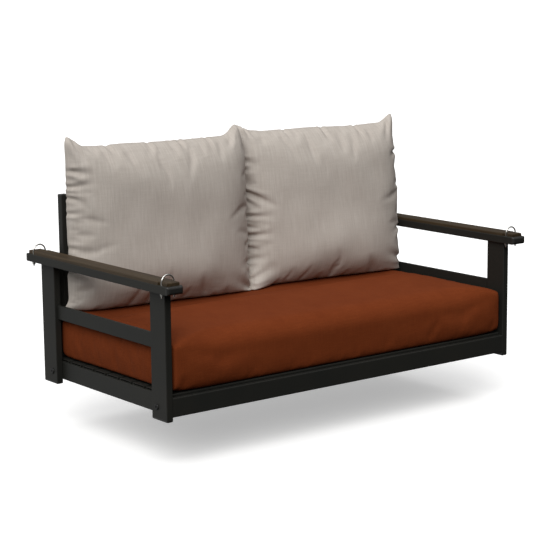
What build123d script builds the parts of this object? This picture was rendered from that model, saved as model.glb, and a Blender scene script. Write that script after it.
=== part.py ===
from build123d import *
from math import cos, radians, sin
import os

# Porch swing seat for two: a pair of side frames with plank armrests, a seat frame and
# a back frame bolted between them, four U-bolts to hang it by, and loose cushions.
# Millimetres. +X to the right seen from the front, +Y to the back, +Z up.
# The origin is on the ground, under the middle of the frame.
# Left and right are as seen from the front.

# Driving sizes of the whole
frame_width = 1385.0          # over the outer faces of the legs
frame_depth = 696.0           # front face of the front legs to back face of the rear legs
arm_underside = 385.0         # height of the underside of the arm tubes
back_height = 599.0           # top of the back frame

# Legs
leg_width = 78.0              # front to back
leg_thickness = 22.0          # side to side
tube_wall = 2.0
tube_edge = 2.5               # outer corner radius of the tubes
foot_cap_thickness = 6.0
foot_cap_rounding = 4.5
cap_plug_length = 16.0
cap_play = 0.2                # between a plug and the tube around it

# Arms
arm_width = 57.0
arm_height = 25.0
arm_outboard = 25.0           # how far an arm stands outside the leg's outer face
arm_overhang = 53.0           # past the legs, at the front and at the back
arm_cap_thickness = 10.0
arm_cap_rounding = 8.5

# Armrest planks
plank_thickness = 10.5
plank_width = 54.0
plank_tongue_width = 43.0     # notched for the legs of a U-bolt
plank_overhang = 41.0         # past the legs
plank_step = 1.0              # where the full width ends, past the legs
plank_edge = 4.0
plank_screw_radius = 2.25
plank_screw_bite = 7.0
plank_screw_head_radius = 4.5
plank_screw_head_height = 2.6
plank_screw_count = 3
plank_screw_inset = 42.0      # from the inner face of a leg to the nearest screw
plank_pilot_play = 1.0        # depth of a screw's hole past its tip

# U-bolts
bolt_wire = 4.8
bolt_leg_spacing = 42.0
bolt_forward = 13.0           # past the legs
bolt_rise = 21.0              # top of the arch above the plank
bolt_tail = 12.0              # thread below the arm
bolt_hole_play = 0.6
washer_radius = 6.0
washer_thickness = 1.0
nut_across_flats = 9.5
nut_height = 6.0
thread_play = 0.05

# Side rails between the legs, at the height of the cushion's top
mid_rail_bottom = 209.5
mid_rail_height = 44.5
mid_rail_thickness = 12.0
mid_rail_wall = 1.5

# Seat frame
rail_bottom = 13.5
rail_height = 57.5
rail_thickness = 25.0
brace_height = 38.0
brace_offset = 230.0          # from the middle to each brace
slat_width = 57.0
slat_thickness = 8.0
slat_wall = 1.5
seat_slat_count = 9
slat_front_lap = 8.0          # how far the first slat lies over the front rail
slat_back_gap = 3.0           # from the last slat to the back posts
slat_end_gap = 3.0            # from a slat's end to the rail's outer face

# Bolts through the legs into the seat frame
frame_bolt_radius = 4.0
frame_bolt_head_radius = 9.5
frame_bolt_head_height = 3.6
frame_bolt_head_dome = 2.9    # rounding of the head's rim
frame_bolt_length = 38.0
frame_bolt_height = 40.0
frame_bolt_inset = 51.5       # from the outer end of the leg pair
bolt_clearance = 0.5
socket_across_flats = 5.0
socket_depth = 2.0
insert_radius = 5.8
insert_length = 16.0

# Back frame, with a spacer between each post and the rear leg
post_width = 25.0
post_depth = 25.0
post_gap = 6.0                # between a post and the seat's side rail
post_cap_thickness = 3.0
back_rail_height = 38.0
back_lower_rail = 96.0        # underside of the lower rail of the back
back_slat_width = 38.0
back_slat_thickness = 10.0
back_slat_count = 9
back_bolt_length = 38.0
back_bolt_rise = 14.0         # of the lower bolt above the rail's underside
back_bolt_pitch = 29.0
side_bolt_heights = (180.0, 340.0)
side_bolt_bite = 14.0         # into the threaded insert in the leg

# Cushions
cushion_side_gap = 34.0       # from the leg's outer face to the cushion
cushion_front_gap = 6.0       # from the legs' front face
cushion_back_gap = 5.5        # to the back posts
cushion_thickness = 156.5
cushion_rounding = 26.0
rest_play = 0.4               # under a soft piece that rests on something
cover_thickness = 1.5
fill_play = 0.1

pillow_width = 668.0
pillow_height = 528.0
pillow_front = 112.0          # seam to the fullest part of the front
pillow_back = 66.0
pillow_hem = 10.0             # half the thickness left at the seam
pillow_foot_front = 92.0      # seam to the front of the flattened bottom
pillow_foot_back = 40.0
pillow_full_height = 170.0    # height of the fullest part
pillow_side_gap = 34.0        # from the leg's outer face to the pillow
left_pillow_turn = -2.0       # degrees about +Z: each right-hand edge stands forward
left_pillow_lean = 17.0       # from the fullest part of its back to the back posts
right_pillow_turn = -5.5
right_pillow_lean = 8.0

# Places that follow from the sizes above
half_width = frame_width / 2
half_depth = frame_depth / 2
arm_middle = half_width + arm_outboard - arm_width / 2
arm_top = arm_underside + arm_height
arm_length = frame_depth + 2 * arm_overhang
plank_top = arm_top + plank_thickness
bolt_reach = half_depth + bolt_forward
rail_top = rail_bottom + rail_height
rail_outer = half_width - leg_thickness
rail_inner = rail_outer - rail_thickness
slat_top = rail_top + slat_thickness
post_outer = rail_inner - post_gap
post_inner = post_outer - post_width
post_back = half_depth - rail_thickness
post_front = post_back - post_depth
post_middle_y = (post_back + post_front) / 2
cushion_bottom = slat_top + rest_play
cushion_top = cushion_bottom + cushion_thickness
sides = (("left", -1), ("right", 1))
ends = (("front", -1), ("rear", 1))

turn_to = {
    "x": Rot(0, 90, 0),
    "y": Rot(-90, 0, 0),
    "z": Rot(0, 0, 0),
}
along = {"x": Axis.X, "y": Axis.Y, "z": Axis.Z}
nodes = {}


def boxTube(size_x, size_y, size_z, axis, wall, edge=tube_edge):
    """A rectangular tube with rounded corners, hollow along one axis."""
    outer = Box(size_x, size_y, size_z)
    outer = fillet(outer.edges().filter_by(along[axis]), edge)
    core = [size_x - 2 * wall, size_y - 2 * wall, size_z - 2 * wall]
    core["xyz".index(axis)] = 2 * max(size_x, size_y, size_z)
    inner = Box(*core)
    if edge > wall:
        inner = fillet(inner.edges().filter_by(along[axis]), edge - wall)
    return outer - inner


def roundBar(radius, length, axis):
    """A solid round bar, centred, along one axis."""
    return turn_to[axis] * Cylinder(radius, length)


def capFor(size_x, size_y, wall, thickness, rounding):
    """A plastic cap for a tube's end: flange below z 0, plug above it."""
    flange = Pos(0, 0, -thickness / 2) * Box(size_x, size_y, thickness)
    flange = fillet(flange.edges().filter_by(Axis.Z), tube_edge)
    flange = fillet(flange.faces().sort_by(Axis.Z)[0].edges(), rounding)
    plug_x = size_x - 2 * (wall + cap_play)
    plug_y = size_y - 2 * (wall + cap_play)
    plug = Pos(0, 0, cap_plug_length / 2) * Box(plug_x, plug_y, cap_plug_length)
    return flange + plug


def domedBolt(head_radius, head_height, shank_radius, length):
    """A bolt with its head on +Z, standing on z 0, and a hexagon socket."""
    head = Pos(0, 0, head_height / 2) * Cylinder(head_radius, head_height)
    head = fillet(head.faces().sort_by(Axis.Z)[-1].edges(), frame_bolt_head_dome)
    socket = RegularPolygon(socket_across_flats / 2, 6, major_radius=False)
    head -= Pos(0, 0, head_height) * extrude(socket, -socket_depth)
    return head + Pos(0, 0, -length / 2) * Cylinder(shank_radius, length)


def ring(outer_radius, inner_radius, height):
    """A washer or a threaded insert, standing on z 0."""
    return Pos(0, 0, height / 2) * (Cylinder(outer_radius, height) - Cylinder(inner_radius, height))


def sideFrame(side, sign):
    """Legs, arm tube and mid rail of one side."""
    leg_height = arm_underside - foot_cap_thickness
    leg_x = sign * (half_width - leg_thickness / 2)
    for end, way in ends:
        leg_y = way * (half_depth - leg_width / 2)
        leg = boxTube(leg_thickness, leg_width, leg_height, "z", tube_wall)
        leg = Pos(leg_x, leg_y, foot_cap_thickness + leg_height / 2) * leg
        bore = roundBar(frame_bolt_radius + bolt_clearance, 2 * leg_thickness, "x")
        bore_y = way * (half_depth - frame_bolt_inset)
        nodes[f"{side}_{end}_leg"] = leg - Pos(leg_x, bore_y, frame_bolt_height) * bore
        foot = capFor(leg_thickness, leg_width, tube_wall, foot_cap_thickness, foot_cap_rounding)
        nodes["leg_foot_caps"].append(Pos(leg_x, leg_y, foot_cap_thickness) * foot)

    tube_length = arm_length - 2 * arm_cap_thickness
    arm = boxTube(arm_width, tube_length, arm_height, "y", tube_wall)
    arm = Pos(sign * arm_middle, 0, arm_underside + arm_height / 2) * arm
    drill = roundBar(bolt_wire / 2 + bolt_hole_play, 2 * arm_height, "z")
    for end, way in ends:
        for bolt_side in (-1, 1):
            hole_x = sign * arm_middle + bolt_side * bolt_leg_spacing / 2
            arm -= Pos(hole_x, way * bolt_reach, arm_underside + arm_height / 2) * drill
        cap = capFor(arm_width, arm_height, tube_wall, arm_cap_thickness, arm_cap_rounding)
        cap = Rot(90 * way, 0, 0) * cap
        cap_place = Pos(sign * arm_middle, way * tube_length / 2, arm_underside + arm_height / 2)
        nodes["arm_end_caps"].append(cap_place * cap)
    screw_drill = roundBar(plank_screw_radius + bolt_clearance, 2 * arm_height, "z")
    for screw_y in screwPlaces():
        arm -= Pos(sign * arm_middle, screw_y, arm_underside + arm_height / 2) * screw_drill
    nodes[f"{side}_arm_tube"] = arm

    rail_length = frame_depth - 2 * leg_width
    rail = boxTube(mid_rail_thickness, rail_length, mid_rail_height, "y", mid_rail_wall)
    rail_x = sign * (rail_outer + mid_rail_thickness / 2)
    nodes[f"{side}_mid_rail"] = Pos(rail_x, 0, mid_rail_bottom + mid_rail_height / 2) * rail


def screwPlaces():
    """Where the plank screws stand along an arm."""
    reach = half_depth - leg_width - plank_screw_inset
    pitch = 2 * reach / (plank_screw_count - 1)
    return [-reach + k * pitch for k in range(plank_screw_count)]


def armrest(side, sign):
    """The plank, with a narrower tongue at each end, and its screws."""
    full_length = frame_depth + 2 * plank_step
    tongue_length = frame_depth + 2 * plank_overhang
    plank = Box(plank_width, full_length, plank_thickness)
    plank += Box(plank_tongue_width, tongue_length, plank_thickness)
    rim = plank.faces().sort_by(Axis.Z)[-1].edges()
    plank = fillet(rim, plank_edge)
    notch = roundBar(bolt_wire / 2 + bolt_hole_play, 2 * plank_thickness, "z")
    for end, way in ends:
        for bolt_side in (-1, 1):
            plank -= Pos(bolt_side * bolt_leg_spacing / 2, way * bolt_reach, 0) * notch
    plank = Pos(sign * arm_middle, 0, arm_top + plank_thickness / 2) * plank
    pilot_depth = plank_screw_bite + plank_pilot_play
    pilot = roundBar(plank_screw_radius + thread_play, pilot_depth, "z")
    shank_length = arm_height + plank_screw_bite
    for screw_y in screwPlaces():
        place = Pos(sign * arm_middle, screw_y, 0)
        plank -= place * Pos(0, 0, arm_top + pilot_depth / 2) * pilot
        shank = Pos(0, 0, arm_underside + shank_length / 2) * Cylinder(plank_screw_radius, shank_length)
        head = Cylinder(plank_screw_head_radius, plank_screw_head_height)
        head = fillet(head.faces().sort_by(Axis.Z)[0].edges(), plank_screw_head_height / 2)
        head = Pos(0, 0, arm_underside - plank_screw_head_height / 2) * head
        nodes["armrest_screws"].append(place * (shank + head))
    nodes[f"{side}_armrest_plank"] = plank


def uBolts(side, sign):
    """The two hanging eyes of one arm, with their washers and nuts."""
    radius = bolt_leg_spacing / 2
    arch_top = plank_top + bolt_rise - bolt_wire / 2
    spring = arch_top - radius
    tail = arm_underside - bolt_tail
    for end, way in ends:
        foot_a = (-radius, 0, tail)
        foot_b = (radius, 0, tail)
        turn_a = (-radius, 0, spring)
        turn_b = (radius, 0, spring)
        path = Line(foot_a, turn_a)
        path += ThreePointArc(turn_a, (0, 0, arch_top), turn_b)
        path += Line(turn_b, foot_b)
        bolt = sweep(Plane(foot_a, z_dir=(0, 0, 1)) * Circle(bolt_wire / 2), path=path)
        place = Pos(sign * arm_middle, way * bolt_reach, 0)
        nodes[f"{side}_{end}_u_bolt"] = place * bolt
        for leg in (-1, 1):
            stand = place * Pos(leg * radius, 0, arm_underside - washer_thickness)
            bore = bolt_wire / 2 + thread_play
            nodes["u_bolt_washers"].append(stand * ring(washer_radius, bore, washer_thickness))
            hexagon = RegularPolygon(nut_across_flats / 2, 6, major_radius=False)
            nut = extrude(hexagon, -nut_height)
            nut -= Pos(0, 0, -nut_height / 2) * Cylinder(bore, 2 * nut_height)
            nodes["u_bolt_nuts"].append(stand * nut)


def seatFrame():
    """Four rails, two braces, the slats across them and the bolts through the legs."""
    rail_z = rail_bottom + rail_height / 2
    rail_y = half_depth - rail_thickness / 2
    for end, way in (("front", -1), ("back", 1)):
        rail = boxTube(2 * rail_outer, rail_thickness, rail_height, "x", tube_wall)
        rail = Pos(0, way * rail_y, rail_z) * rail
        if end == "back":
            for place in backBoltPlaces():
                hole = roundBar(frame_bolt_radius + bolt_clearance, 2 * rail_thickness, "y")
                rail -= place * Pos(0, half_depth, 0) * hole
        nodes[f"seat_{end}_rail"] = rail

    side_length = frame_depth - 2 * rail_thickness
    for side, sign in sides:
        rail = boxTube(rail_thickness, side_length, rail_height, "y", tube_wall)
        rail = Pos(sign * (rail_outer - rail_thickness / 2), 0, rail_z) * rail
        for way in (-1, 1):
            place_y = way * (half_depth - frame_bolt_inset)
            pocket = roundBar(insert_radius, 2 * insert_length, "x")
            rail -= Pos(sign * rail_outer, place_y, frame_bolt_height) * pocket
            to_leg = Rot(0, 90 * sign, 0)
            insert = ring(insert_radius, frame_bolt_radius + thread_play, insert_length)
            seat = Pos(sign * rail_outer, place_y, frame_bolt_height)
            nodes["threaded_inserts"].append(seat * to_leg * Pos(0, 0, -insert_length) * insert)
            bolt = domedBolt(
                frame_bolt_head_radius,
                frame_bolt_head_height,
                frame_bolt_radius,
                frame_bolt_length,
            )
            outside = Pos(sign * half_width, place_y, frame_bolt_height)
            nodes["frame_bolts"].append(outside * to_leg * bolt)
        nodes[f"seat_{side}_rail"] = rail

        brace = boxTube(rail_thickness, side_length, brace_height, "y", tube_wall)
        nodes[f"seat_{side}_brace"] = Pos(sign * brace_offset, 0, rail_top - brace_height / 2) * brace

    slat_length = 2 * (rail_outer - slat_end_gap)
    first_slat = -half_depth + rail_thickness - slat_front_lap + slat_width / 2
    last_slat = post_front - slat_back_gap - slat_width / 2
    pitch = (last_slat - first_slat) / (seat_slat_count - 1)
    for k in range(seat_slat_count):
        slat_y = first_slat + k * pitch
        slat = boxTube(slat_length, slat_width, slat_thickness, "x", slat_wall)
        nodes[f"seat_slat_{k + 1}"] = Pos(0, slat_y, rail_top + slat_thickness / 2) * slat


def backBoltPlaces():
    """Places, in X and Z, of the bolts that hold the back posts."""
    post_x = (post_outer + post_inner) / 2
    first = rail_bottom + back_bolt_rise
    return [Pos(s * post_x, 0, first + k * back_bolt_pitch) for s in (-1, 1) for k in (0, 1)]


def sideBolts(side, sign):
    """Bolts from a post's inner face, through its spacer, into the rear leg."""
    to_leg = Rot(0, 90 * sign, 0)
    from_leg = Rot(0, -90 * sign, 0)
    reach = rail_outer - post_inner
    bore = roundBar(frame_bolt_radius + bolt_clearance, 2 * reach, "x")
    pocket = roundBar(insert_radius, insert_length, "x")
    insert = ring(insert_radius, frame_bolt_radius + thread_play, insert_length)
    bolt = domedBolt(
        frame_bolt_head_radius,
        frame_bolt_head_height,
        frame_bolt_radius,
        reach + side_bolt_bite,
    )
    for height in side_bolt_heights:
        inside = Pos(sign * post_inner, post_middle_y, height)
        for name in (f"back_{side}_post", f"back_{side}_spacer"):
            nodes[name] -= inside * bore
        leg_face = Pos(sign * rail_outer, post_middle_y, height)
        nodes[f"{side}_rear_leg"] -= leg_face * pocket
        nodes["threaded_inserts"].append(leg_face * to_leg * insert)
        nodes["back_side_bolts"].append(inside * from_leg * bolt)


def backFrame():
    """Two posts, two rails and the upright slats, bolted to the seat's back rail."""
    post_height = back_height - post_cap_thickness - rail_bottom
    to_back = Rot(-90, 0, 0)
    for side, sign in sides:
        post = boxTube(post_width, post_depth, post_height, "z", tube_wall)
        post_x = sign * (post_outer + post_inner) / 2
        nodes[f"back_{side}_post"] = Pos(post_x, post_middle_y, rail_bottom + post_height / 2) * post
        cap = capFor(post_width, post_depth, tube_wall, post_cap_thickness, post_cap_thickness / 2)
        cap = Rot(180, 0, 0) * cap
        nodes["back_post_caps"].append(Pos(post_x, post_middle_y, rail_bottom + post_height) * cap)
        spacer_height = arm_underside - rail_top
        spacer = boxTube(rail_outer - post_outer, post_depth, spacer_height, "z", tube_wall)
        spacer_place = Pos(sign * (rail_outer + post_outer) / 2, post_middle_y, rail_top + spacer_height / 2)
        nodes[f"back_{side}_spacer"] = spacer_place * spacer
        sideBolts(side, sign)
    for place in backBoltPlaces():
        pocket = roundBar(insert_radius, 2 * insert_length, "y")
        for side, sign in sides:
            nodes[f"back_{side}_post"] -= place * Pos(0, post_back, 0) * pocket
        insert = ring(insert_radius, frame_bolt_radius + thread_play, insert_length)
        seat = place * Pos(0, post_back, 0) * to_back
        nodes["threaded_inserts"].append(seat * Pos(0, 0, -insert_length) * insert)
        bolt = domedBolt(
            frame_bolt_head_radius,
            frame_bolt_head_height,
            frame_bolt_radius,
            back_bolt_length,
        )
        nodes["back_bolts"].append(place * Pos(0, half_depth, 0) * to_back * bolt)

    inner_width = 2 * post_inner
    upper_z = back_height - back_rail_height / 2 - post_cap_thickness
    lower_z = back_lower_rail + back_rail_height / 2
    for name, rail_z in (("upper", upper_z), ("lower", lower_z)):
        rail = boxTube(inner_width, post_depth, back_rail_height, "x", tube_wall)
        nodes[f"back_{name}_rail"] = Pos(0, post_middle_y, rail_z) * rail

    slat_height = upper_z - lower_z - back_rail_height
    pitch = inner_width / back_slat_count
    for k in range(back_slat_count):
        slat_x = (k - (back_slat_count - 1) / 2) * pitch
        slat = boxTube(back_slat_width, back_slat_thickness, slat_height, "z", slat_wall)
        nodes[f"back_slat_{k + 1}"] = Pos(slat_x, post_middle_y, (upper_z + lower_z) / 2) * slat


def seatCushion():
    """A boxed cushion: a sewn cover and the foam block inside it."""
    width = frame_width - 2 * cushion_side_gap
    front = -half_depth + cushion_front_gap
    depth = post_front - cushion_back_gap - front
    middle = Pos(0, front + depth / 2, (cushion_bottom + cushion_top) / 2)

    def block(inset):
        shape = Box(width - 2 * inset, depth - 2 * inset, cushion_thickness - 2 * inset)
        return middle * fillet(shape.edges(), cushion_rounding - inset)

    nodes["seat_cushion_cover"] = block(0) - block(cover_thickness)
    nodes["seat_foam_core"] = block(cover_thickness + fill_play)


def backPillow(side, sign, lean, turn):
    """A pillow that stands on the seat cushion: a sewn cover and its fibre fill."""
    foot = cushion_top + rest_play
    reach = pillow_width / 2 * cos(radians(turn)) + pillow_hem * sin(radians(abs(turn)))
    centre_x = sign * (half_width - pillow_side_gap - reach)
    centre_y = post_front - lean - pillow_back

    def body(inset):
        half = pillow_width / 2 - inset
        hem = pillow_hem - inset
        front = inset - pillow_front
        back = pillow_back - inset
        low = foot + inset
        high = foot + pillow_height - inset
        full = foot + pillow_full_height
        across = Line((-half, hem), (-half, -hem))
        across += ThreePointArc((-half, -hem), (0, front), (half, -hem))
        across += Line((half, -hem), (half, hem))
        across += ThreePointArc((half, hem), (0, back), (-half, hem))
        plan = Pos(0, 0, low) * extrude(make_face(across), high - low)
        foot_front = inset - pillow_foot_front
        foot_back = pillow_foot_back - inset
        upright = Line((foot_back, low), (foot_front, low))
        upright += ThreePointArc((foot_front, low), (front, full), (-hem, high))
        upright += Line((-hem, high), (hem, high))
        upright += ThreePointArc((hem, high), (back, full), (foot_back, low))
        face = Plane(origin=(-half, 0, 0), x_dir=(0, 1, 0), z_dir=(1, 0, 0)) * make_face(upright)
        profile = extrude(face, 2 * half)
        return Pos(centre_x, centre_y, 0) * Rot(0, 0, turn) * (plan & profile)

    nodes[f"{side}_pillow_cover"] = body(0) - body(cover_thickness)
    nodes[f"{side}_pillow_fill"] = body(cover_thickness + fill_play)


groups = (
    "leg_foot_caps",
    "arm_end_caps",
    "armrest_screws",
    "u_bolt_washers",
    "u_bolt_nuts",
    "frame_bolts",
    "threaded_inserts",
    "back_post_caps",
    "back_bolts",
    "back_side_bolts",
)
for group in groups:
    nodes[group] = []

for side, sign in sides:
    sideFrame(side, sign)
    armrest(side, sign)
    uBolts(side, sign)
seatFrame()
backFrame()
seatCushion()
backPillow("left", -1, left_pillow_lean, left_pillow_turn)
backPillow("right", 1, right_pillow_lean, right_pillow_turn)

os.makedirs("parts", exist_ok=True)
for name, shape in nodes.items():
    if isinstance(shape, list):
        shape = Compound(children=[solid for piece in shape for solid in piece.solids()])
    export_step(shape, f"parts/{name}.step")
print(len(nodes), "nodes written")
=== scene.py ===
from math import cos, pi, radians, sin

import bpy
import numpy as np
from mathutils import Matrix, Vector, noise


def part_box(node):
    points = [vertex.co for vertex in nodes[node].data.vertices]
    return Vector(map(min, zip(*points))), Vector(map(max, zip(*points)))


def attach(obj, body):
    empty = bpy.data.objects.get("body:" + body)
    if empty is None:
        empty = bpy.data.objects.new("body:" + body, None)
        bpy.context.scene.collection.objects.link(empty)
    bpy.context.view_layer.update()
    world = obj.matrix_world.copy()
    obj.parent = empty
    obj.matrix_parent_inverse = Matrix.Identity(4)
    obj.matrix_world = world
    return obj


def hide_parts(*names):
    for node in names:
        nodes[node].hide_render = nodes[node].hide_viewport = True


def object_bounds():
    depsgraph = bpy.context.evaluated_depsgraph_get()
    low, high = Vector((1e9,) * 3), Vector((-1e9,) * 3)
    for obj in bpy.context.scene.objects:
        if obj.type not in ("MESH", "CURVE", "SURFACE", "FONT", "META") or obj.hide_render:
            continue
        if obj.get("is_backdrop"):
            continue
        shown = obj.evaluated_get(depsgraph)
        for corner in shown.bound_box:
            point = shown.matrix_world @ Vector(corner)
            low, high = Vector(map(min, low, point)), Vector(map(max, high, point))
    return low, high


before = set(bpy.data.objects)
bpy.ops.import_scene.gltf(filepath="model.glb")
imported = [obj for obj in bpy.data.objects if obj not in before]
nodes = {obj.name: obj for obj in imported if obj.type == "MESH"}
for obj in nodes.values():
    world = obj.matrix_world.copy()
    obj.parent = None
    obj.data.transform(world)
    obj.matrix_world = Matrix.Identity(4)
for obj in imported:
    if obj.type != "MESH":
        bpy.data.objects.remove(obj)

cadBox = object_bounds()
scene = bpy.context.scene
print("frame loaded:", len(nodes), "nodes")


# helpers for shaders and shapes

class Wire:
    # a socket in a node tree; arithmetic on it adds Math nodes
    def __init__(self, tree, socket):
        self.tree = tree
        self.socket = socket

    def math(self, operation, *others):
        node = self.tree.nodes.new("ShaderNodeMath")
        node.operation = operation
        for slot, value in zip(node.inputs, (self, *others)):
            plug(self.tree, slot, value)
        return Wire(self.tree, node.outputs[0])

    def __add__(self, other):
        return self.math("ADD", other)

    def __radd__(self, other):
        return self.math("ADD", other)

    def __sub__(self, other):
        return self.math("SUBTRACT", other)

    def __rsub__(self, other):
        return (self * -1).math("ADD", other)

    def __mul__(self, other):
        return self.math("MULTIPLY", other)

    def __rmul__(self, other):
        return self.math("MULTIPLY", other)

    def __truediv__(self, other):
        return self.math("DIVIDE", other)

    def __pow__(self, other):
        return self.math("POWER", other)


def plug(tree, slot, value):
    if isinstance(value, Wire):
        tree.links.new(value.socket, slot)
    else:
        slot.default_value = value


class Shade:
    # one material's tree, with its Principled shader
    def __init__(self, name, **shaderValues):
        self.material = bpy.data.materials.new(name)
        self.material.use_nodes = True
        self.tree = self.material.node_tree
        self.shader = self.tree.nodes["Principled BSDF"]
        for socketName, value in shaderValues.items():
            self.shader.inputs[socketName.replace("_", " ")].default_value = value

    def add(self, kind, settings=None, out=0, **sockets):
        # any node: its settings first, then values or links for its sockets
        node = self.tree.nodes.new("ShaderNode" + kind)
        for name, value in (settings or {}).items():
            if name == "stops":
                while len(node.color_ramp.elements) < len(value):
                    node.color_ramp.elements.new(0.5)
                for element, (place, colour) in zip(node.color_ramp.elements, value):
                    element.position = place
                    element.color = colour
            else:
                setattr(node, name, value)
        for name, value in sockets.items():
            key = int(name[1:]) if name[0] == "i" and name[1:].isdigit() else name.replace("_", " ")
            plug(self.tree, node.inputs[key], value)
        return Wire(self.tree, node.outputs[out])

    def mix(self, factor, first, second):
        return self.add("Mix", {"data_type": "RGBA"}, out=2, i0=factor, i6=first, i7=second)

    def stretch(self, source, scale, move=(0, 0, 0)):
        scaled = self.add("VectorMath", {"operation": "MULTIPLY"}, i0=source, i1=scale)
        return self.add("VectorMath", {"operation": "ADD"}, i0=scaled, i1=move)

    def grain(self, source, scale, detail=3.0, roughness=0.55, distortion=0.0):
        return self.add("TexNoise", Vector=source, Scale=scale, Detail=detail,
                        Roughness=roughness, Distortion=distortion)

    def level(self, value, low, high):
        return self.add("MapRange", Value=value, From_Min=low, From_Max=high)

    def bump(self, height, distance, strength, under=None):
        sockets = {"Height": height, "Distance": distance, "Strength": strength}
        if under is not None:
            sockets["Normal"] = under
        return self.add("Bump", **sockets)

    def wear(self, socketName, value):
        plug(self.tree, self.shader.inputs[socketName], value)


def rgba(red, green, blue):
    return (red, green, blue, 1.0)


def coat(nodeNames, material):
    for name in nodeNames:
        slots = nodes[name].data.materials
        slots.clear()
        slots.append(material)


def named(*words):
    # the CAD nodes whose name holds any of these words
    return [name for name in nodes if any(word in name for word in words)]


def smoothStep(value):
    t = np.clip(value, 0.0, 1.0)
    return t * t * (3 - 2 * t)


# camera, lights and floor

view = {
    "place": (-3.3794, -4.3449, 1.2946),
    "turn": 37.671,          # degrees from +Y towards +X
    "tilt": 10.156,          # degrees below the horizon
    "roll": -0.562,
    "lens": 112.27,
    "sensor": 36,
    "farthest": 400,
}


def makeCamera():
    turn, tilt, roll = (radians(view[k]) for k in ("turn", "tilt", "roll"))
    ahead = Vector((sin(turn) * cos(tilt), cos(turn) * cos(tilt), -sin(tilt)))
    right = Vector((cos(turn), -sin(turn), 0))
    up = right.cross(ahead)
    right, up = cos(roll) * right + sin(roll) * up, cos(roll) * up - sin(roll) * right
    data = bpy.data.cameras.new("studioCamera")
    data.lens = view["lens"]
    data.sensor_width = view["sensor"]
    data.clip_end = view["farthest"]
    camera = bpy.data.objects.new("studioCamera", data)
    facing = Matrix((right, up, -ahead)).transposed().to_4x4()
    camera.matrix_world = Matrix.Translation(view["place"]) @ facing
    scene.collection.objects.link(camera)
    scene.camera = camera


studio = {
    "floorBelow": 0.150,      # the seat hangs a little above the floor
    "floorWidth": 300.0,
    "floorColour": rgba(0.86, 0.86, 0.86),
    "floorRoughness": 0.9,
    "floorGloss": 0.1,
    "floorGlow": 0.40,
    # the sky's grey from straight down to straight up
    "sky": [(0.0, 0.0), (0.46, 0.015), (0.56, 0.06), (0.75, 0.24), (1.0, 0.48)],
    # a pale screen low on the left, behind
    "screen": {"towards": (-0.62, 0.76, -0.18), "brightness": 0.5, "edge": 0.45, "fade": 0.7},
    # sun lights: pitch and turn in degrees, strength, angular size, colour
    "lights": {
        "keyLight": (52, -46, 2.05, 42, (1.0, 0.99, 0.97)),
        "topLight": (10, -40, 1.05, 70, (1.0, 1.0, 1.0)),
    },
}


def makeStudio():
    world = bpy.data.worlds.new("studioWorld")
    world.use_nodes = True
    tree = world.node_tree
    place = tree.nodes.new("ShaderNodeTexCoord")
    parts = tree.nodes.new("ShaderNodeSeparateXYZ")
    tree.links.new(place.outputs["Generated"], parts.inputs[0])
    ramp = tree.nodes.new("ShaderNodeValToRGB")
    while len(ramp.color_ramp.elements) < len(studio["sky"]):
        ramp.color_ramp.elements.new(0.5)
    for element, (stop, grey) in zip(ramp.color_ramp.elements, studio["sky"]):
        element.position = stop
        element.color = rgba(grey, grey, grey)
    height = Wire(tree, parts.outputs[2]) * 0.5 + 0.5
    plug(tree, ramp.inputs[0], height)
    screen = studio["screen"]
    x, y, z = (Wire(tree, out) * share for out, share in zip(parts.outputs, screen["towards"]))
    facing = (x + y + z - screen["edge"]) / (1 - screen["edge"])
    glow = facing.math("MAXIMUM", 0.0) ** screen["fade"] * screen["brightness"]
    both = Wire(tree, ramp.outputs[0]) + glow
    tree.links.new(both.socket, tree.nodes["Background"].inputs["Color"])
    scene.world = world
    for name, (pitch, turn, strength, size, colour) in studio["lights"].items():
        data = bpy.data.lights.new(name, "SUN")
        data.energy = strength
        data.angle = radians(size)
        data.color = colour
        lamp = bpy.data.objects.new(name, data)
        lamp.rotation_euler = (radians(pitch), 0, radians(turn))
        scene.collection.objects.link(lamp)

    half = studio["floorWidth"] / 2
    level = cadBox[0][2] - studio["floorBelow"]
    data = bpy.data.meshes.new("studioFloor")
    corners = [(x * half, y * half, level) for x, y in ((-1, -1), (1, -1), (1, 1), (-1, 1))]
    data.from_pydata(corners, [], [(0, 1, 2, 3)])
    floor = bpy.data.objects.new("studioFloor", data)
    scene.collection.objects.link(floor)
    paint = Shade("floorPaper", Base_Color=studio["floorColour"],
                  Roughness=studio["floorRoughness"], Specular_IOR_Level=studio["floorGloss"],
                  Emission_Color=rgba(1, 1, 1), Emission_Strength=studio["floorGlow"])
    data.materials.append(paint.material)
    floor.visible_diffuse = False      # the paper doesn't light the seat from below
    floor.visible_glossy = False
    floor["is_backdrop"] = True
    scene.view_settings.view_transform = "Standard"


makeCamera()
makeStudio()
print("camera, lights and floor ready")


# the frame's finishes

powderCoat = {
    "colour": rgba(0.0130, 0.0136, 0.0118),
    "warmer": rgba(0.0165, 0.0160, 0.0130),
    "edgeWearAndHighlightColour": rgba(0.042, 0.041, 0.037),      # lighter edges: partly wear, partly a painted highlight along the edges
    "edgeWidth": 0.0035,
    "cloudSize": 6.0,                      # patches per metre
    "peelSize": 900.0,                     # bumps per metre
    "peelHeight": 0.00006,
    "roughness": 0.5,
    "gloss": 0.32,
}


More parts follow.
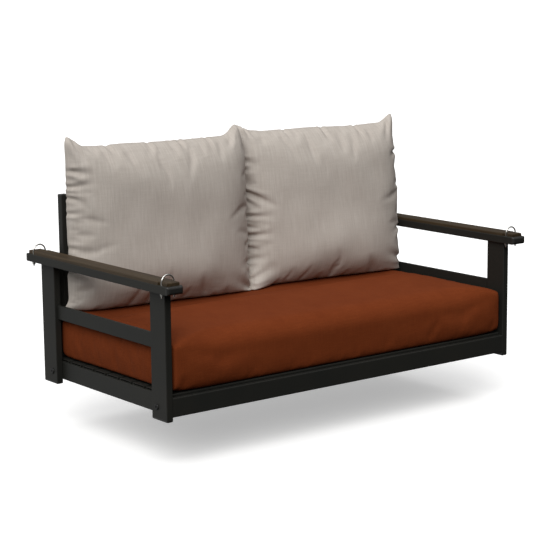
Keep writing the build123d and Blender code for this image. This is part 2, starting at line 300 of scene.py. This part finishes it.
def powderCoatPaint():
    paint = Shade("powderCoatedTube", Specular_IOR_Level=powderCoat["gloss"])
    place = paint.add("TexCoord", out=3)
    cloud = paint.grain(place, powderCoat["cloudSize"], detail=4.0)
    colour = paint.mix(paint.level(cloud, 0.35, 0.7), powderCoat["colour"], powderCoat["warmer"])
    edge = paint.add("Bevel", {"samples": 4}, Radius=powderCoat["edgeWidth"])
    straight = paint.add("NewGeometry", out=1)
    likeness = paint.add("VectorMath", {"operation": "DOT_PRODUCT"}, out=1, i0=edge, i1=straight)
    # edges painted lighter in patches: partly wear, partly a painted highlight along the edges
    edgeWearAndHighlight = paint.level(1 - likeness, 0.04, 0.24) * paint.level(paint.grain(place, 60.0), 0.42, 0.62)
    colour = paint.mix(edgeWearAndHighlight * 0.5, colour, powderCoat["edgeWearAndHighlightColour"])
    paint.wear("Base Color", colour)
    peel = paint.grain(place, powderCoat["peelSize"], detail=2.0)
    paint.wear("Roughness", powderCoat["roughness"] + 0.12 * peel - 0.08 * edgeWearAndHighlight)
    paint.wear("Normal", paint.bump(peel, powderCoat["peelHeight"], 0.6))
    return paint.material


plankWood = {
    "dark": rgba(0.019, 0.0112, 0.0046),
    "middle": rgba(0.040, 0.0250, 0.0105),
    "light": rgba(0.072, 0.0460, 0.0205),
    "fibres": 95.0,           # streaks per metre across the plank
    "bands": 26.0,
    "pores": 620.0,
    "ribHeight": 0.0004,
    "poreDepth": 0.00015,
    "roughness": 0.48,
    "gloss": 0.35,
}


def plankPaint():
    paint = Shade("grainedPlank", Specular_IOR_Level=plankWood["gloss"])
    place = paint.add("TexCoord", out=3)
    fibres, bands, poreCount = (plankWood[k] for k in ("fibres", "bands", "pores"))
    streak = paint.stretch(place, (fibres, 2.4, fibres))
    fine = paint.grain(streak, 1.0, detail=6.0, roughness=0.62, distortion=0.25)
    broad = paint.grain(paint.stretch(place, (bands, 1.1, bands), (3, 1, 7)), 1.0, detail=3.0)
    pores = paint.grain(paint.stretch(place, (poreCount, 16.0, poreCount)), 1.0, detail=2.0)
    tone = 0.62 * fine + 0.38 * broad
    stops = [(0.30, plankWood["dark"]), (0.50, plankWood["middle"]), (0.72, plankWood["light"])]
    colour = paint.add("ValToRGB", {"stops": stops}, Fac=tone)
    poreMask = paint.level(pores, 0.60, 0.74)
    colour = paint.mix(poreMask * 0.55, colour, plankWood["dark"])
    paint.wear("Base Color", colour)
    paint.wear("Roughness", plankWood["roughness"] + 0.2 * fine)
    ribs = paint.bump(fine, plankWood["ribHeight"], 0.7)
    paint.wear("Normal", paint.bump(1 - poreMask, plankWood["poreDepth"], 0.6, ribs))
    return paint.material


capPlastic = {
    "colour": rgba(0.013, 0.013, 0.012),
    "hazed": rgba(0.021, 0.020, 0.018),
    "hazeSize": 14.0,
    "grainSize": 1400.0,
    "grainHeight": 0.00004,
    "roughness": 0.32,
    "gloss": 0.5,
}


def plasticPaint():
    paint = Shade("mouldedCap", Specular_IOR_Level=capPlastic["gloss"])
    place = paint.add("TexCoord", out=3)
    haze = paint.grain(place, capPlastic["hazeSize"], detail=3.0)
    paint.wear("Base Color", paint.mix(haze, capPlastic["colour"], capPlastic["hazed"]))
    spark = paint.grain(place, capPlastic["grainSize"], detail=1.0)
    paint.wear("Roughness", capPlastic["roughness"] + 0.14 * haze)
    paint.wear("Normal", paint.bump(spark, capPlastic["grainHeight"], 0.5))
    return paint.material


boltSteel = {
    "colour": rgba(0.74, 0.73, 0.70),
    "tarnished": rgba(0.52, 0.50, 0.46),
    "tarnishSize": 45.0,
    "brushing": (900.0, 900.0, 60.0),
    "brushHeight": 0.00003,
    "roughness": 0.16,
}


def steelPaint():
    paint = Shade("stainlessWire", Metallic=1.0)
    place = paint.add("TexCoord", out=3)
    brush = paint.grain(paint.stretch(place, boltSteel["brushing"]), 1.0, detail=3.0)
    tarnish = paint.level(paint.grain(place, boltSteel["tarnishSize"], detail=4.0), 0.45, 0.75)
    paint.wear("Base Color", paint.mix(tarnish, boltSteel["colour"], boltSteel["tarnished"]))
    paint.wear("Roughness", boltSteel["roughness"] + 0.16 * brush)
    paint.wear("Normal", paint.bump(brush, boltSteel["brushHeight"], 0.4))
    return paint.material


boltBlack = {
    "colour": rgba(0.016, 0.016, 0.016),
    "worn": rgba(0.05, 0.048, 0.045),
    "wearSize": 260.0,
    "wearHeight": 0.00005,
    "roughness": 0.36,
    "metal": 0.6,
}


def boltPaint():
    paint = Shade("blackenedBolt", Metallic=boltBlack["metal"])
    place = paint.add("TexCoord", out=3)
    worn = paint.grain(place, boltBlack["wearSize"], detail=4.0)
    wear = paint.level(worn, 0.5, 0.72)
    paint.wear("Base Color", paint.mix(wear, boltBlack["colour"], boltBlack["worn"]))
    paint.wear("Roughness", boltBlack["roughness"] + 0.2 * worn)
    paint.wear("Normal", paint.bump(worn, boltBlack["wearHeight"], 0.5))
    return paint.material


coat(named("_leg", "tube", "rail", "brace", "slat", "post", "spacer"), powderCoatPaint())
coat(named("plank"), plankPaint())
coat(named("caps"), plasticPaint())
coat(named("u_bolt", "screws", "inserts"), steelPaint())
coat(["frame_bolts", "back_bolts", "back_side_bolts"], boltPaint())
sharpAngle = radians(32)
for name, shape in nodes.items():
    if shape.data.materials and "leg_foot" not in name:
        shape.data.polygons.foreach_set("use_smooth", [True] * len(shape.data.polygons))
        shape.data.set_sharp_from_angle(angle=sharpAngle)
print("frame finishes done")


# cloth, for the seat cushion and the back pillows

def clothPaint(name, cloth):
    # plain weave with slubby threads; the pattern lies in the piece's own cut
    paint = Shade(name, Specular_IOR_Level=cloth["gloss"], Sheen_Weight=cloth["sheen"],
                  Sheen_Roughness=0.45, Sheen_Tint=cloth["sheenTint"])
    cut = paint.add("Attribute", {"attribute_name": "clothCut"}, out=1)
    across = paint.add("SeparateXYZ", Vector=cut)
    along = Wire(across.tree, across.socket.node.outputs[1])
    threads = cloth["threads"] * 2 * pi
    warp = (across * threads).math("SINE")
    weft = (along * threads).math("SINE")
    over = warp * weft
    weave = 0.5 + 0.25 * over + 0.125 * warp + 0.125 * weft
    slub = cloth["slub"]
    slubWarp = paint.grain(paint.stretch(cut, (slub, slub * 0.05, 1.0)), 1.0, detail=4.0)
    slubWeft = paint.grain(paint.stretch(cut, (slub * 0.06, slub, 5.0)), 1.0, detail=4.0)
    cloud = paint.grain(cut, 7.0, detail=5.0, roughness=0.6)
    fleck = paint.grain(cut, cloth["fleck"], detail=2.0, roughness=0.7)
    tone = cloth["warp"] * slubWarp + cloth["weft"] * slubWeft + 0.18 * cloud + cloth["speck"] * fleck
    stops = [(0.38, cloth["dark"]), (0.5, cloth["middle"]), (0.62, cloth["light"])]
    colour = paint.add("ValToRGB", {"stops": stops}, Fac=tone)
    gaps = paint.level(weave, 0.1, 0.5)
    colour = paint.mix((1 - gaps) * 0.35, colour, cloth["gap"])
    paint.wear("Base Color", colour)
    paint.wear("Roughness", 0.86 + 0.1 * fleck)
    slack = paint.bump(slubWarp + slubWeft, 0.0005, 0.35)
    paint.wear("Normal", paint.bump(weave, 0.00022, 0.5, slack))
    return paint.material


def meshFrom(name, places, faces, cuts):
    data = bpy.data.meshes.new(name)
    data.from_pydata([tuple(p) for p in places], [], faces)
    data.update()
    cut = data.attributes.new("clothCut", "FLOAT_VECTOR", "POINT")
    cut.data.foreach_set("vector", np.asarray(cuts, np.float32).ravel())
    data.polygons.foreach_set("use_smooth", [True] * len(data.polygons))
    piece = bpy.data.objects.new(name, data)
    scene.collection.objects.link(piece)
    return piece


def placesOf(piece):
    places = np.empty(len(piece.data.vertices) * 3)
    piece.data.vertices.foreach_get("co", places)
    return places.reshape(-1, 3)


def movePlaces(piece, places):
    piece.data.vertices.foreach_set("co", places.ravel())
    piece.data.update()


def inflate(piece, pinned, sewing):
    # cloth under pressure, held at its seams; no point ends further off than the cap
    start = placesOf(piece)
    group = piece.vertex_groups.new(name="held")
    for index, weight in enumerate(pinned):
        if weight > 0:
            group.add([index], float(weight), "REPLACE")
    cloth = piece.modifiers.new("cloth", "CLOTH")
    fabric = cloth.settings
    fabric.quality = sewing["steps"]
    fabric.mass = sewing["weight"]
    fabric.tension_stiffness = fabric.compression_stiffness = sewing["stiffness"]
    fabric.shear_stiffness = sewing["shear"]
    fabric.bending_stiffness = sewing["bending"]
    fabric.use_pressure = True
    fabric.uniform_pressure_force = sewing["pressure"]
    fabric.shrink_min = -sewing["ease"]
    fabric.vertex_group_mass = "held"
    fabric.pin_stiffness = sewing["hold"]
    fabric.effector_weights.gravity = 0
    cloth.collision_settings.use_collision = False
    cloth.point_cache.frame_start = 1
    cloth.point_cache.frame_end = sewing["frames"]
    for number in range(1, sewing["frames"] + 1):
        scene.frame_set(number)
    seen = piece.evaluated_get(bpy.context.evaluated_depsgraph_get())
    after = np.empty(len(seen.data.vertices) * 3)
    seen.data.vertices.foreach_get("co", after)
    piece.modifiers.remove(cloth)
    scene.frame_set(1)
    moved = after.reshape(-1, 3) - start
    length = np.linalg.norm(moved, axis=1, keepdims=True)
    capped = moved * sewing["cap"] * np.tanh(length / sewing["cap"]) / np.maximum(length, 1e-9)
    movePlaces(piece, start + capped)
    print(piece.name, "cloth moved up to", round(float(length.max()) * 1000, 1), "mm")


def rounded(piece):
    # one subdivision, for good
    smooth = piece.modifiers.new("smooth", "SUBSURF")
    smooth.levels = smooth.render_levels = 1
    seen = piece.evaluated_get(bpy.context.evaluated_depsgraph_get())
    data = bpy.data.meshes.new_from_object(seen)
    piece.modifiers.remove(smooth)
    piece.data = data


def cutsOf(piece):
    # where each point lies on the flat cloth
    cuts = np.empty(len(piece.data.vertices) * 3, np.float32)
    piece.data.attributes["clothCut"].data.foreach_get("vector", cuts)
    return cuts.reshape(-1, 3)


def outwardOf(piece):
    outward = np.empty(len(piece.data.vertices) * 3, np.float32)
    piece.data.vertex_normals.foreach_get("vector", outward)
    return outward.reshape(-1, 3)


def keepSeam(piece, onSeam, sharpness):
    # seams stay crisp when the cloth is subdivided
    creases = piece.data.attributes.new("crease_edge", "FLOAT", "EDGE")
    ends = np.empty(len(piece.data.edges) * 2, np.int32)
    piece.data.edges.foreach_get("vertices", ends)
    both = onSeam[ends.reshape(-1, 2)].all(axis=1)
    creases.data.foreach_set("value", (both * sharpness).astype(np.float32))


def ripple(places, size, seed):
    # soft noise at each place, from -1 to 1
    move = Vector((seed * 7.13, seed * 3.71, seed * 5.37))
    return np.array([noise.noise(Vector(p) + move) for p in np.asarray(places) / size])


# seat cushion: a boxed cover with two sewn end panels

seatPad = {
    "step": 0.011,
    "frontRound": 0.050,       # top edge at the front, where the cover wraps over
    "lowRound": 0.022,
    "backRound": 0.030,
    "endCorner": 0.013,        # the front's rounding at the two sewn end panels
    "endCornerReach": 0.16,
    "crown": 0.0085,
    "crownEnds": 0.015,        # how far back the crown reaches
    "endDrop": 0.014,          # the top falls this much to an end seam
    "endDropReach": 0.13,
    "frontBulge": 0.004,
    "endBulge": 0.006,
    "footRise": 0.006,         # the underside lifts this much at the ends
    "pressedReach": 0.09,      # from the crown to where the pillows press flat
    "waist": 0.005,            # how far the long edges pull in between the corners
    "sewing": {"steps": 5, "weight": 0.25, "stiffness": 12, "shear": 6, "bending": 3,
               "pressure": 2.4, "ease": 0.008, "hold": 0.8, "frames": 14, "cap": 0.006},
    "fill": 0.85,
}
seatCloth = {
    "dark": rgba(0.128, 0.0255, 0.0062),
    "middle": rgba(0.160, 0.0335, 0.0085),
    "light": rgba(0.200, 0.0450, 0.0125),
    "gap": rgba(0.080, 0.014, 0.004),
    "threads": 620.0,          # per metre
    "slub": 330.0,
    "warp": 0.20,              # shares of the colour's unevenness
    "weft": 0.20,
    "fleck": 330.0,
    "speck": 0.42,
    "gloss": 0.08,
    "sheen": 0.0,
    "sheenTint": rgba(0.9, 0.40, 0.20),
}


def roundedOutline(across, up, halfY, halfZ, tight):
    # where a place on a unit square's rim goes, with each corner's own radius
    y = across * halfY
    z = up * halfZ
    if up > 0 and across < 0:
        radius = seatPad["frontRound"] * (1 - tight) + seatPad["endCorner"] * tight
    elif across < 0:
        radius = seatPad["lowRound"]
    else:
        radius = seatPad["backRound"]
    innerY = max(-(halfY - radius), min(halfY - radius, y))
    innerZ = max(-(halfZ - radius), min(halfZ - radius, z))
    outY, outZ = y - innerY, z - innerZ
    length = (outY * outY + outZ * outZ) ** 0.5
    if length < 1e-9 or (abs(outY) < 1e-9 or abs(outZ) < 1e-9):
        return y, z
    return innerY + outY / length * radius, innerZ + outZ / length * radius


def makeSeatCushion():
    low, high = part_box("seat_cushion_cover")
    middle = (low + high) / 2
    half = (high - low) / 2
    counts = [max(4, round(2 * h / seatPad["step"])) for h in half]
    index, places, cuts, onSeam = {}, [], [], []

    def corner(i, j, k):
        if (i, j, k) in index:
            return index[i, j, k]
        a, b, c = (2 * v / n - 1 for v, n in zip((i, j, k), counts))
        reach = max(abs(b), abs(c), 1e-9)
        tight = 1 - smoothStep((1 - abs(a)) * half.x / seatPad["endCornerReach"])
        y, z = roundedOutline(b / reach, c / reach, half.y, half.z, tight)
        y, z = y * reach, z * reach
        x = a * half.x
        index[i, j, k] = len(places)
        places.append((x, y, z))
        if abs(a) > 0.999:
            cuts.append((y + 2 * a, z, 3.0))
        elif abs(b) > 0.999:
            cuts.append((x, z - b * half.y, 0.0))
        else:
            cuts.append((x, y * (1 if c > 0 else -1), 0.0))
        onSeam.append(abs(a) > 0.999 and reach > 0.999)
        return index[i, j, k]

    faces = []
    for axis in range(3):
        first, second = [n for n in range(3) if n != axis]
        for end in (0, counts[axis]):
            for p in range(counts[first]):
                for q in range(counts[second]):
                    ring = []
                    for dp, dq in ((0, 0), (1, 0), (1, 1), (0, 1)):
                        spot = [0, 0, 0]
                        spot[axis] = end
                        spot[first], spot[second] = p + dp, q + dq
                        ring.append(corner(*spot))
                    outward = (end > 0) == (axis != 1)
                    faces.append(ring if outward else ring[::-1])
    places = np.array(places)
    a, b, c = (places[:, n] / half[n] for n in range(3))

    # crown, falling away to the end seams, and gentle bulges
    topside = smoothStep(c * 0.5 + 0.5)
    toEnd = np.clip((1 - np.abs(a)) * half.x / seatPad["endDropReach"], 0, 1)
    backwards = b * half.y + middle.y - seatPad["crownEnds"]
    behind = smoothStep(backwards / seatPad["pressedReach"])     # under the pillows
    crown = (1 - a ** 6) * (1 - np.clip(np.abs(b), 0, 1) ** 3) * (1 - behind)
    places[:, 2] += topside * seatPad["crown"] * crown
    places[:, 2] -= topside * seatPad["endDrop"] * (1 - toEnd) ** 1.7 * (0.6 + 0.4 * np.abs(b))
    places[:, 2] += (1 - topside) * seatPad["footRise"] * (1 - toEnd) ** 2
    faceOut = (1 - np.clip(np.abs(c), 0, 1) ** 2) * (1 - a ** 4)
    places[:, 1] -= np.where(b < -0.9, seatPad["frontBulge"] * faceOut, 0)
    endOut = (1 - np.clip(np.abs(c), 0, 1) ** 2) * (1 - np.clip(np.abs(b), 0, 1) ** 4)
    places[:, 0] += np.where(np.abs(a) > 0.999, np.sign(a) * seatPad["endBulge"] * endOut, 0)
    pull = seatPad["waist"] * (1 - a * a)
    places[:, 1] -= np.sign(b) * pull * np.clip(np.abs(b), 0, 1) ** 2 * 0.6
    places[:, 0] -= np.sign(a) * seatPad["waist"] * (1 - b * b) * np.abs(a) ** 8
    places += np.array(middle)

    piece = meshFrom("seatCushion", places, faces, cuts)
    onSeam = np.array(onSeam)
    resting = smoothStep((low.z + 0.012 - places[:, 2]) / 0.012)
    inflate(piece, np.maximum(onSeam * 1.0, resting * 0.9), seatPad["sewing"])
    rounded(piece)
    places = placesOf(piece)
    places[:, 2] = np.maximum(places[:, 2], low.z + 0.0003)
    pressed = smoothStep((places[:, 1] - seatPad["crownEnds"]) / seatPad["pressedReach"])
    proud = np.maximum(places[:, 2] - (high.z - 0.001), 0)
    places[:, 2] -= proud * pressed
    movePlaces(piece, places)
    piece.data.materials.append(clothPaint("rustCanvas", seatCloth))
    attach(piece, "seat_cushion")
    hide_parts("seat_cushion_cover", "seat_foam_core")


makeSeatCushion()
print("seat cushion made")


# back pillows: two panels sewn edge to edge, filled, and set on the seat

pillowCloth = {
    "dark": rgba(0.448, 0.402, 0.362),
    "middle": rgba(0.500, 0.455, 0.412),
    "light": rgba(0.552, 0.508, 0.466),
    "gap": rgba(0.290, 0.252, 0.216),
    "threads": 620.0,
    "slub": 250.0,
    "warp": 0.44,              # shares of the colour's unevenness
    "weft": 0.18,
    "fleck": 400.0,
    "speck": 0.20,
    "gloss": 0.20,
    "sheen": 0.06,
    "sheenTint": rgba(0.95, 0.9, 0.85),
}
pillowCut = {
    "step": 0.0075,
    "front": 0.090,            # from the seam to the fullest part of each panel
    "back": 0.052,
    "squareness": 3.2,         # how flat the middle is
    "steepness": 0.46,         # how fast the panel leaves the seam
    "seamBack": 0.37,          # the side seams' place, as a share of the depth from the back
    "topSeam": 0.752,          # height of the top seam
    "sink": 0.030,             # how much of its height the foot squashes flat
    "footSoft": 0.006,
    "backSoft": 0.006,
    "armSoft": 0.003,
    "cornerRound": 0.022,      # rounding of the outline's corners
    "topDip": 0.006,           # how far the seams pull in between the ears
    "lowFull": 0.20,           # the fill settles: this much fuller, low down
    "gather": 0.0026,          # small puckers along the seams
    "gatherSize": 0.026,
    "gatherReach": 0.036,
    "seamWander": 0.004,       # how far the seams stray to the front and back
    "seamCrease": 0.75,
    "lump": 0.0045,            # uneven fill
    "lumpSize": 0.11,
    "sewing": {"steps": 6, "weight": 0.25, "stiffness": 14, "shear": 5, "bending": 2.5,
               "pressure": 3.4, "ease": 0.022, "hold": 0.9, "frames": 22, "cap": 0.022},
    "fill": 0.7,
}
# turn: degrees at the foot and at the top; lean: degrees backwards
# ears: how far each corner moves to the right, back and up, and how far in that reaches
# folds: where each starts, from -1 to 1 across and up, its direction in degrees, then its
# length, width and depth
pillows = {
    "left": {
        "seed": 3,
        "turn": (-5.0, -1.5),
        "lean": 0.5,
        "shift": -0.003,           # to the right
        "sides": (0.003, -0.001),  # how far each side bows out between its ears
        "ears": {(-1, 1): (-0.003, 0.008, 0.034, 0.060), (1, 1): (-0.004, 0.020, 0.032, 0.085),
                 (-1, -1): (-0.008, 0.010, 0.026, 0.080), (1, -1): (0.006, -0.012, 0.002, 0.070)},
        "folds": [
            (-0.97, 0.72, -12, 0.070, 0.012, 0.0075),
            (-1.00, 0.54, 14, 0.080, 0.010, 0.0070),
            (-1.00, 0.42, -22, 0.055, 0.009, 0.0055),
            (-0.99, 0.24, 8, 0.050, 0.011, 0.0040),
            (-1.00, -0.16, -14, 0.060, 0.012, 0.0045),
            (-0.99, -0.42, 10, 0.075, 0.012, 0.0060),
            (-0.93, 0.97, -52, 0.110, 0.014, 0.0060),
            (-0.58, 1.00, -70, 0.060, 0.012, 0.0040),
            (-0.12, 1.00, -112, 0.075, 0.013, 0.0045),
            (0.22, 1.00, -80, 0.060, 0.012, 0.0045),
            (0.55, 1.00, -104, 0.070, 0.012, 0.0040),
            (0.84, 0.98, -150, 0.070, 0.011, 0.0060),
            (0.99, -0.30, 194, 0.060, 0.011, 0.0045),
            (0.99, -0.56, 170, 0.085, 0.013, 0.0060),
            (0.96, -0.86, 150, 0.130, 0.015, 0.0070),
        ],
    },
    "right": {
        "seed": 8,
        "turn": (-6.0, -5.5),
        "lean": 4.0,
        "shift": 0.004,
        "sides": (-0.003, 0.010),
        "ears": {(-1, 1): (0.006, -0.006, 0.024, 0.090), (1, 1): (0.018, 0.010, 0.030, 0.055),
                 (-1, -1): (0.004, -0.080, 0.006, 0.150), (1, -1): (0.004, -0.010, 0.004, 0.070)},
        "folds": [
            (-0.94, 0.96, -46, 0.080, 0.011, 0.0075),
            (-0.86, 1.00, -72, 0.060, 0.009, 0.0080),
            (-0.97, 0.66, -16, 0.075, 0.011, 0.0090),
            (-0.97, 0.54, 6, 0.060, 0.009, 0.0070),
            (-0.97, 0.30, -27, 0.115, 0.010, 0.0120),
            (-0.97, 0.20, -38, 0.070, 0.008, 0.0090),
            (-0.97, -0.02, 0, 0.110, 0.009, 0.0090),
            (-0.97, -0.14, -12, 0.070, 0.008, 0.0080),
            (-0.97, -0.26, 6, 0.105, 0.009, 0.0095),
            (-0.97, -0.40, -8, 0.075, 0.009, 0.0080),
            (-0.97, -0.56, 14, 0.090, 0.010, 0.0075),
            (-0.95, -0.78, 24, 0.120, 0.013, 0.0080),
            (-0.36, 1.00, -84, 0.055, 0.012, 0.0040),
            (0.10, 1.00, -100, 0.060, 0.012, 0.0040),
            (0.52, 1.00, -96, 0.070, 0.011, 0.0060),
            (0.90, 0.96, -128, 0.090, 0.011, 0.0060),
            (0.98, 0.62, 190, 0.070, 0.012, 0.0060),
            (0.98, 0.20, 172, 0.060, 0.012, 0.0040),
            (0.97, -0.34, 186, 0.080, 0.012, 0.0055),
            (0.96, -0.74, 158, 0.120, 0.014, 0.0070),
        ],
    },
}


def fold(x, z, startX, startZ, angle, length, width, depth):
    # a crease that fades along its length, with a soft ridge on each side of it
    way = radians(angle)
    along = (x - startX) * cos(way) + (z - startZ) * sin(way)
    off = (z - startZ) * cos(way) - (x - startX) * sin(way)
    t = np.clip(along / length, 0, 1)
    q = off / (width * (0.55 + 0.75 * t))
    begins = smoothStep((along + width) / width)
    shape = np.exp(-q * q) - 0.5 * np.exp(-(np.abs(q) - 1.9) ** 2)
    return -depth * shape * begins * (1 - t) ** 1.25


def softLimit(values, limit, soft):
    # like the lower of values and limit, with a rounded bend between them
    return limit - soft * np.logaddexp(0, (limit - values) / soft)


def sewPillow(side, halfW, halfH):
    # the two panels' grid, domed a little, with one shared rim
    across, up = (round(2 * h / pillowCut["step"]) for h in (halfW, halfH))
    index, rows, faces = {}, [], []

    def corner(i, j, face):
        rim = i in (0, across) or j in (0, up)
        key = (i, j, 0 if rim else face)
        if key not in index:
            index[key] = len(rows)
            rows.append((2 * i / across - 1, 2 * j / up - 1, 0 if rim else face))
        return index[key]

    for face in (-1, 1):
        for i in range(across):
            for j in range(up):
                ring = [corner(i + di, j + dj, face) for di, dj in ((0, 0), (1, 0), (1, 1), (0, 1))]
                faces.append(ring if face < 0 else ring[::-1])
    u, v, panel = np.array(rows).T
    square, steep = pillowCut["squareness"], pillowCut["steepness"]
    dome = ((1 - np.abs(u) ** square) * (1 - np.abs(v) ** square)) ** steep
    depth = np.where(panel < 0, -pillowCut["front"], pillowCut["back"]) * np.abs(panel)
    bows = np.where(u < 0, *pillows[side]["sides"])
    x = u * halfW + np.sign(u) * bows * (1 - v * v) * np.abs(u) ** 3
    z = v * halfH - np.sign(v) * pillowCut["topDip"] * (1 - u * u) * v * v
    fromCorner = np.hypot((1 - np.abs(u)) * halfW, (1 - np.abs(v)) * halfH)
    inward = 0.3 * pillowCut["cornerRound"] * smoothStep(1 - fromCorner / pillowCut["cornerRound"])
    x, z = x - np.sign(u) * inward, z - np.sign(v) * inward
    places = np.stack([x, depth * dome, z], axis=1)
    cuts = np.stack([u * halfW, v * halfH, 0 * u], axis=1)
    rim = panel == 0
    places[:, 1] += rim * ripple(places, 0.06, pillows[side]["seed"]) * pillowCut["seamWander"]

    piece = meshFrom(f"{side}BackPillow", places, faces, cuts)
    keepSeam(piece, rim, pillowCut["seamCrease"])
    inflate(piece, rim * 1.0, pillowCut["sewing"])
    rounded(piece)
    return piece


def makePillow(side):
    style = pillows[side]
    low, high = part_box(f"{side}_pillow_cover")
    halfW = (high.x - low.x) / cos(radians(style["turn"][0])) / 2 - 0.002
    tall = pillowCut["topSeam"] + pillowCut["topDip"] - low.z + pillowCut["sink"]
    halfH = tall / 2
    piece = sewPillow(side, halfW, halfH)
    places, cuts = placesOf(piece), cutsOf(piece)
    u, v = cuts[:, 0] / halfW, cuts[:, 1] / halfH

    # puckers, folds and uneven fill, along the cloth's own outward direction
    outward = outwardOf(piece)
    front = smoothStep(0.5 - places[:, 1] / 0.012)
    toSeam = np.minimum((1 - np.abs(u)) * halfW, (1 - np.abs(v)) * halfH)
    # the noise runs along the seams: its third direction is squeezed to nothing
    sideways = ((1 - np.abs(u)) * halfW < (1 - np.abs(v)) * halfH)
    run = np.where(sideways, cuts[:, 1], cuts[:, 0] + 3.0)
    line = np.stack([run, 0.15 * toSeam, 0.02 * np.sign(places[:, 1])], axis=1)
    size = pillowCut["gatherSize"] * (1 + 0.6 * toSeam / pillowCut["gatherReach"])
    gathers = ripple(line, size[:, None], style["seed"]) * np.exp(-toSeam / pillowCut["gatherReach"])
    patches = smoothStep(0.5 + 1.6 * ripple(line, 0.13, style["seed"] + 2))
    cornerCalm = 1 - (np.abs(u) * np.abs(v)) ** 8
    move = pillowCut["gather"] * gathers * patches * cornerCalm
    move += pillowCut["lump"] * ripple(places * (1, 0.5, 1), pillowCut["lumpSize"], style["seed"] + 1)
    for startU, startV, angle, length, width, depth in style["folds"]:
        move += front * fold(cuts[:, 0], cuts[:, 1], startU * halfW, startV * halfH,
                             angle, length, width, depth)
    places += outward * move[:, None]

    # the fill settles low, each ear has its own way, and the pillow leans and twists
    places[:, 1] *= 1 + pillowCut["lowFull"] * np.exp(-((v + 0.5) / 0.4) ** 2) * (1 - u * u)
    for (signU, signV), (right, back, rise, reach) in style["ears"].items():
        fromCorner = np.hypot((1 - signU * u) * halfW, (1 - signV * v) * halfH)
        share = smoothStep(1 - fromCorner / reach)
        places += share[:, None] * np.array([right, back, rise])
    height = places[:, 2] + halfH
    x = places[:, 0].copy()
    y = places[:, 1] + (height - halfH) * sin(radians(style["lean"]))
    footTurn, topTurn = (radians(t) for t in style["turn"])
    turn = footTurn + (topTurn - footTurn) * np.clip(height / tall, 0, 1)
    middle = (low + high) / 2
    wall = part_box("back_upper_rail")[0].y
    seamLine = high.y - (high.y - low.y) * pillowCut["seamBack"]
    places[:, 0] = middle.x + style["shift"] + x * np.cos(turn) - y * np.sin(turn)
    places[:, 1] = seamLine + x * np.sin(turn) + y * np.cos(turn)

    # the foot squashes flat on the seat and the back rests against the slats
    z = height + low.z - pillowCut["sink"]
    soft = pillowCut["footSoft"]
    rests = low.z - soft * np.logaddexp(0, -pillowCut["sink"] / soft)
    places[:, 2] = rests + soft * np.logaddexp(0, (z - low.z) / soft)
    places[:, 1] = softLimit(places[:, 1], wall - 0.001, pillowCut["backSoft"])

    # the armrest presses into the pillow's side
    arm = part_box(f"{side}_arm_tube")
    away = 1 if side == "right" else -1
    inner = min(abs(arm[0].x), abs(arm[1].x)) - 0.001
    level = smoothStep((places[:, 2] - arm[0].z + 0.04) / 0.03)
    level *= smoothStep((arm[1].z + 0.055 - places[:, 2]) / 0.03)
    pressed = softLimit(places[:, 0] * away, inner, pillowCut["armSoft"]) * away
    places[:, 0] += (pressed - places[:, 0]) * level
    movePlaces(piece, places)
    piece.data.materials.append(clothPaint(f"{side}TaupeCanvas", pillowCloth))
    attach(piece, f"{side}_back_pillow")
    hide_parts(f"{side}_pillow_cover", f"{side}_pillow_fill")


for side in pillows:
    makePillow(side)
print("back pillows made")

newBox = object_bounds()
for label, box in (("CAD box", cadBox), ("visual box", newBox)):
    print(label, [round(v, 3) for corner in box for v in corner])
